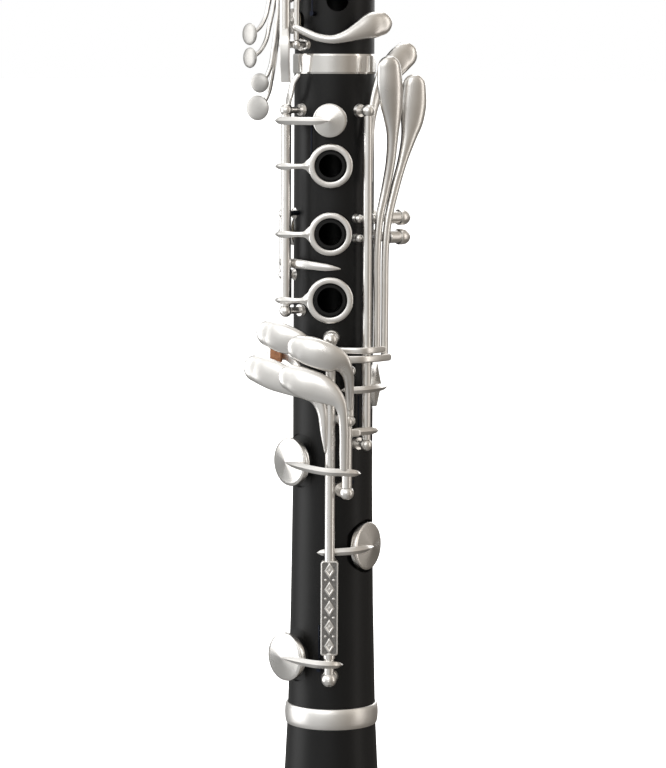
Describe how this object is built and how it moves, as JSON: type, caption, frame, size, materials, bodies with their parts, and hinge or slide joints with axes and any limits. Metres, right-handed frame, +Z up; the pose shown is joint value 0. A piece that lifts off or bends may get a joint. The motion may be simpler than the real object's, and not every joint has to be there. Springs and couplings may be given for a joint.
{
  "type": "clarinet",
  "caption": "Soprano clarinet with a matte black body, silver-plated ring keys, long side levers, bell, barrel, mouthpiece, reed and ligature.",
  "frame": {"origin": "centre of the bell mouth, on the plane of its rim", "axes": "+Z up the bore towards the mouthpiece tip; -Y towards the open finger holes; +X towards the left-hand little-finger levers"},
  "size_m": [0.079, 0.079, 0.662],
  "materials": {
    "black_body": "matte black, finely brushed",
    "mouthpiece_rubber": "polished black",
    "silver_plate": "satin silver plate with bright edges",
    "thumb_rest_metal": "satin plate",
    "steel": "ground steel",
    "cork": "fine natural cork",
    "pad_skin": "thin skin over felt",
    "cane": "cut cane"
  },
  "bodies": {
    "root": {"lower_joint": "black_body", "lower_joint_socket_ring": "silver_plate", "lower_posts": "silver_plate", "hinge_rods": "steel", "upper_joint": "black_body", "upper_posts": "silver_plate", "bell": "black_body", "bell_rings": "silver_plate", "tenon_corks": "cork", "thumb_tube": "black_body", "thumb_rest_plate": "thumb_rest_metal", "needle_springs": "steel"},
    "barrel_group": {"barrel": "black_body", "barrel_rings": "silver_plate", "mouthpiece": "mouthpiece_rubber", "mouthpiece_cork": "cork", "reed": "cane", "ligature": "silver_plate"},
    "ligature_screw_upper": {"ligature_screw_upper": "silver_plate"},
    "ligature_screw_lower": {"ligature_screw_lower": "silver_plate"},
    "thumb_rest_hook": {"thumb_rest_hook": "thumb_rest_metal"},
    "thumb_rest_screw": {"thumb_rest_screw": "thumb_rest_metal"},
    "lower_ring_key": {"lower_ring_key": "silver_plate", "lower_ring_pad": "pad_skin"},
    "b_natural_sliver_key": {"b_natural_sliver_key": "silver_plate", "b_natural_sliver_pad": "pad_skin"},
    "a_flat_e_flat_key": {"a_flat_e_flat_key": "silver_plate", "a_flat_e_flat_pad": "pad_skin"},
    "f_sharp_c_sharp_key": {"f_sharp_c_sharp_key": "silver_plate", "f_sharp_c_sharp_pad": "pad_skin"},
    "f_c_key": {"f_c_key": "silver_plate", "f_c_pad": "pad_skin", "crow_foot_cork": "cork"},
    "e_b_key": {"e_b_key": "silver_plate", "e_b_pad": "pad_skin"},
    "left_f_sharp_lever": {"left_f_sharp_lever": "silver_plate"},
    "left_e_b_lever": {"left_e_b_lever": "silver_plate"},
    "left_f_c_lever": {"left_f_c_lever": "silver_plate"},
    "upper_ring_key": {"upper_ring_key": "silver_plate", "upper_ring_pad": "pad_skin"},
    "c_sharp_g_sharp_key": {"c_sharp_g_sharp_key": "silver_plate", "c_sharp_g_sharp_pad": "pad_skin"},
    "e_flat_sliver_key": {"e_flat_sliver_key": "silver_plate", "e_flat_sliver_pad": "pad_skin"},
    "thumb_ring_key": {"thumb_ring_key": "silver_plate", "thumb_ring_pad": "pad_skin"},
    "side_trill_key_1": {"side_trill_key_1": "silver_plate", "side_trill_pad_1": "pad_skin"},
    "side_trill_key_2": {"side_trill_key_2": "silver_plate", "side_trill_pad_2": "pad_skin"},
    "side_trill_key_3": {"side_trill_key_3": "silver_plate", "side_trill_pad_3": "pad_skin"},
    "side_trill_key_4": {"side_trill_key_4": "silver_plate", "side_trill_pad_4": "pad_skin"},
    "throat_a_key": {"throat_a_key": "silver_plate", "throat_a_pad": "pad_skin"},
    "throat_g_sharp_key": {"throat_g_sharp_key": "silver_plate", "throat_g_sharp_pad": "pad_skin"},
    "register_key": {"register_key": "silver_plate", "register_pad": "pad_skin"}
  },
  "joints": [
    {"name": "lower_ring_key_swing", "type": "hinge", "parent": "root", "child": "lower_ring_key", "pos_m": [-0.016, -0.01184, 0.275], "axis": [0, 0, 1], "range_deg": [0, 4.2], "stiffness_Nm_per_rad": 0.02, "springref_deg": -20.05},
    {"name": "b_natural_sliver_key_swing", "type": "hinge", "parent": "root", "child": "b_natural_sliver_key", "pos_m": [-0.01681, -0.0045, 0.264], "axis": [0, 0, 1], "range_deg": [0, 6], "stiffness_Nm_per_rad": 0.02, "springref_deg": -20.05},
    {"name": "a_flat_e_flat_key_swing", "type": "hinge", "parent": "root", "child": "a_flat_e_flat_key", "pos_m": [0.00559, -0.01711, 0.214], "axis": [0, 0, 1], "range_deg": [-7.8, 0], "stiffness_Nm_per_rad": 0.02, "springref_deg": 20.05},
    {"name": "f_sharp_c_sharp_key_swing", "type": "hinge", "parent": "root", "child": "f_sharp_c_sharp_key", "pos_m": [-0.00069, -0.01579, 0.196], "axis": [0, 0, 1], "range_deg": [-9.3, 0], "stiffness_Nm_per_rad": 0.02, "springref_deg": 20.05},
    {"name": "f_c_key_swing", "type": "hinge", "parent": "root", "child": "f_c_key", "pos_m": [0.00478, -0.02229, 0.194], "axis": [0, 0, 1], "range_deg": [-6.7, 0], "stiffness_Nm_per_rad": 0.02, "springref_deg": 20.05},
    {"name": "e_b_key_swing", "type": "hinge", "parent": "root", "child": "e_b_key", "pos_m": [-0.00085, -0.01958, 0.176], "axis": [0, 0, 1], "range_deg": [-10.5, 0], "stiffness_Nm_per_rad": 0.02, "springref_deg": 20.05},
    {"name": "left_f_sharp_lever_swing", "type": "hinge", "parent": "root", "child": "left_f_sharp_lever", "pos_m": [0.00967, -0.01153, 0.2733], "axis": [0.766, 0.6428, 0], "range_deg": [-3.4, 0]},
    {"name": "left_e_b_lever_swing", "type": "hinge", "parent": "root", "child": "left_e_b_lever", "pos_m": [0.00967, -0.01153, 0.2667], "axis": [0.766, 0.6428, 0], "range_deg": [-5.6, 0]},
    {"name": "left_f_c_lever_swing", "type": "hinge", "parent": "root", "child": "left_f_c_lever", "pos_m": [0.0112, -0.01409, 0.253], "axis": [0, 0, 1], "range_deg": [0, 5.7]},
    {"name": "upper_ring_key_swing", "type": "hinge", "parent": "root", "child": "upper_ring_key", "pos_m": [-0.01658, -0.01205, 0.37], "axis": [0, 0, 1], "range_deg": [0, 4], "stiffness_Nm_per_rad": 0.02, "springref_deg": -20.05},
    {"name": "c_sharp_g_sharp_key_swing", "type": "hinge", "parent": "root", "child": "c_sharp_g_sharp_key", "pos_m": [-0.01264, -0.01282, 0.341], "axis": [0, 0, 1], "range_deg": [0, 6], "stiffness_Nm_per_rad": 0.02, "springref_deg": -20.05},
    {"name": "e_flat_sliver_key_swing", "type": "hinge", "parent": "root", "child": "e_flat_sliver_key", "pos_m": [-0.01498, -0.00667, 0.356], "axis": [0, 0, 1], "range_deg": [0, 5], "stiffness_Nm_per_rad": 0.02, "springref_deg": -20.05},
    {"name": "thumb_ring_key_swing", "type": "hinge", "parent": "root", "child": "thumb_ring_key", "pos_m": [-0.01157, 0.01379, 0.402], "axis": [0, 0, 1], "range_deg": [-4, 0], "stiffness_Nm_per_rad": 0.02, "springref_deg": 20.05},
    {"name": "side_trill_key_1_swing", "type": "hinge", "parent": "root", "child": "side_trill_key_1", "pos_m": [-0.01654, -0.00145, 0.42], "axis": [0.0872, -0.9962, 0], "range_deg": [0, 1.07], "stiffness_Nm_per_rad": 0.02, "springref_deg": -20.05},
    {"name": "side_trill_key_2_swing", "type": "hinge", "parent": "root", "child": "side_trill_key_2", "pos_m": [-0.01654, -0.00145, 0.42], "axis": [0.0872, -0.9962, 0], "range_deg": [0, 1.34], "stiffness_Nm_per_rad": 0.02, "springref_deg": -20.05},
    {"name": "side_trill_key_3_swing", "type": "hinge", "parent": "root", "child": "side_trill_key_3", "pos_m": [-0.01654, -0.00145, 0.372], "axis": [0.0872, -0.9962, 0], "range_deg": [0, 1.16], "stiffness_Nm_per_rad": 0.02, "springref_deg": -20.05},
    {"name": "side_trill_key_4_swing", "type": "hinge", "parent": "root", "child": "side_trill_key_4", "pos_m": [-0.01654, -0.00145, 0.372], "axis": [0.0872, -0.9962, 0], "range_deg": [0, 1.49], "stiffness_Nm_per_rad": 0.02, "springref_deg": -20.05},
    {"name": "throat_a_key_swing", "type": "hinge", "parent": "root", "child": "throat_a_key", "pos_m": [-0.00114, -0.01626, 0.428], "axis": [0.9976, -0.0698, 0], "range_deg": [0, 4.5], "stiffness_Nm_per_rad": 0.02, "springref_deg": -20.05},
    {"name": "throat_g_sharp_key_swing", "type": "hinge", "parent": "root", "child": "throat_g_sharp_key", "pos_m": [0.01004, -0.01285, 0.434], "axis": [0.788, 0.6157, 0], "range_deg": [0, 4.5], "stiffness_Nm_per_rad": 0.02, "springref_deg": -20.05},
    {"name": "register_key_swing", "type": "hinge", "parent": "root", "child": "register_key", "pos_m": [0.00611, 0.01511, 0.446], "axis": [-0.9272, 0.3746, 0], "range_deg": [0, 1.8], "stiffness_Nm_per_rad": 0.02, "springref_deg": -20.05},
    {"name": "barrel_tuning", "type": "slide", "parent": "root", "child": "barrel_group", "axis": [0, 0, 1], "range_m": [0, 0.003]},
    {"name": "ligature_screw_lower_turn", "type": "hinge", "parent": "barrel_group", "child": "ligature_screw_lower", "pos_m": [0, 0.0154, 0.601], "axis": [1, 0, 0], "range_deg": [0, 720]},
    {"name": "ligature_screw_upper_turn", "type": "hinge", "parent": "barrel_group", "child": "ligature_screw_upper", "pos_m": [0, 0.0154, 0.613], "axis": [1, 0, 0], "range_deg": [0, 720]},
    {"name": "thumb_rest_slide", "type": "slide", "parent": "root", "child": "thumb_rest_hook", "axis": [0, 0, 1], "range_m": [-0.004, 0.004]},
    {"name": "thumb_rest_screw_turn", "type": "hinge", "parent": "thumb_rest_hook", "child": "thumb_rest_screw", "pos_m": [0, 0.0155, 0.2485], "axis": [0, 1, 0], "range_deg": [0, 540]}
  ],
  "couplings": [
    {"joint": "left_f_sharp_lever_swing", "follows": "f_sharp_c_sharp_key_swing", "ratio": 0.35},
    {"joint": "left_e_b_lever_swing", "follows": "e_b_key_swing", "ratio": 0.52},
    {"joint": "left_f_c_lever_swing", "follows": "f_c_key_swing", "ratio": -0.83}
  ]
}
